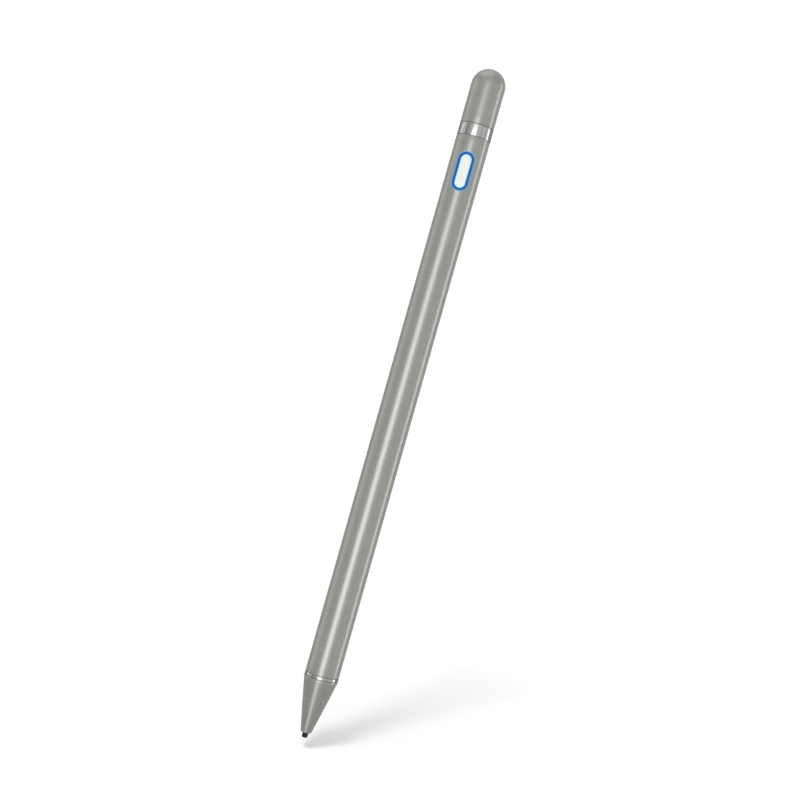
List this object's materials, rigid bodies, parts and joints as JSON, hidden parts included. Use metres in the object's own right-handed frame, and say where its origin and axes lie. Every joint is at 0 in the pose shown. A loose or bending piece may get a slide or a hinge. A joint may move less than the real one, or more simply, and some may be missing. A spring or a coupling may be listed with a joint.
{
  "type": "stylus pen",
  "caption": "Slim rechargeable stylus pen: fine nib in a screw-on cone, round barrel with a lit push button, bright rings and a pull-off domed cap over the charging port.",
  "frame": {"origin": "tip of the nib, on the pen's axis", "axes": "+Z along the pen's axis from the nib to the cap; the push button faces -Y"},
  "size_m": [0.0088, 0.0088, 0.1764],
  "materials": {
    "body_paint": "satin",
    "ring_chrome": "polished",
    "nib_black": "matte",
    "brass_turned": "satin",
    "insulator_white": "matte",
    "block_black": "matte",
    "spring_steel": "satin",
    "cell_can": "satin",
    "pad_foam": "matte",
    "lead_red": "satin",
    "lead_yellow": "satin",
    "carrier_plastic": "matte",
    "board_green": "satin",
    "chip_black": "matte",
    "capacitor_tan": "satin",
    "led_white": "gloss",
    "switch_steel": "satin",
    "light_blue": "gloss",
    "key_white": "satin",
    "plug_grey": "matte",
    "port_steel": "satin",
    "contact_gold": "polished",
    "magnet_nickel": "polished"
  },
  "bodies": {
    "barrel": {"barrel": "body_paint", "front_bush": "brass_turned", "contact_block": "block_black", "contact_spring": "spring_steel", "contact_terminal": "brass_turned", "tip_lead": "lead_yellow", "battery_cell": "cell_can", "battery_pad_front": "pad_foam", "battery_pad_rear": "pad_foam", "battery_leads": "lead_red", "board_carrier": "carrier_plastic", "main_board": "board_green", "microcontroller": "chip_black", "charger_chip": "chip_black", "boost_inductor": "chip_black", "capacitors": "capacitor_tan", "indicator_leds": "led_white", "switch_body": "switch_steel", "light_ring": "light_blue", "tail_plug": "plug_grey", "rear_ring": "ring_chrome", "usb_shell": "port_steel", "usb_tongue": "block_black", "usb_contacts": "contact_gold"},
    "front_trim": {"front_ring": "ring_chrome"},
    "tip": {"nose_cone": "body_paint", "nib": "nib_black", "nib_core": "brass_turned", "tip_insulator": "insulator_white"},
    "button": {"button_key": "key_white", "switch_plunger": "block_black"},
    "cap": {"cap": "body_paint", "cap_liner": "block_black", "cap_magnet": "magnet_nickel"}
  },
  "joints": [
    {"name": "button_press", "type": "slide", "parent": "barrel", "child": "button", "axis": [0, 1, 0], "range_m": [0, 0.00025], "stiffness_N_per_m": 6400},
    {"name": "cap_pull", "type": "slide", "parent": "barrel", "child": "cap", "axis": [0, 0, 1], "range_m": [0, 0.014]},
    {"name": "tip_feed", "type": "slide", "parent": "barrel", "child": "front_trim", "axis": [0, 0, -1], "range_m": [0, 0.0029], "deforming": ["contact_spring"]},
    {"name": "tip_unscrew", "type": "hinge", "parent": "front_trim", "child": "tip", "pos_m": [0, 0, 0], "axis": [0, 0, -1], "range_deg": [0, 2088]}
  ],
  "couplings": [
    {"joint": "tip_unscrew", "follows": "tip_feed", "rad_per_m": 12566}
  ]
}
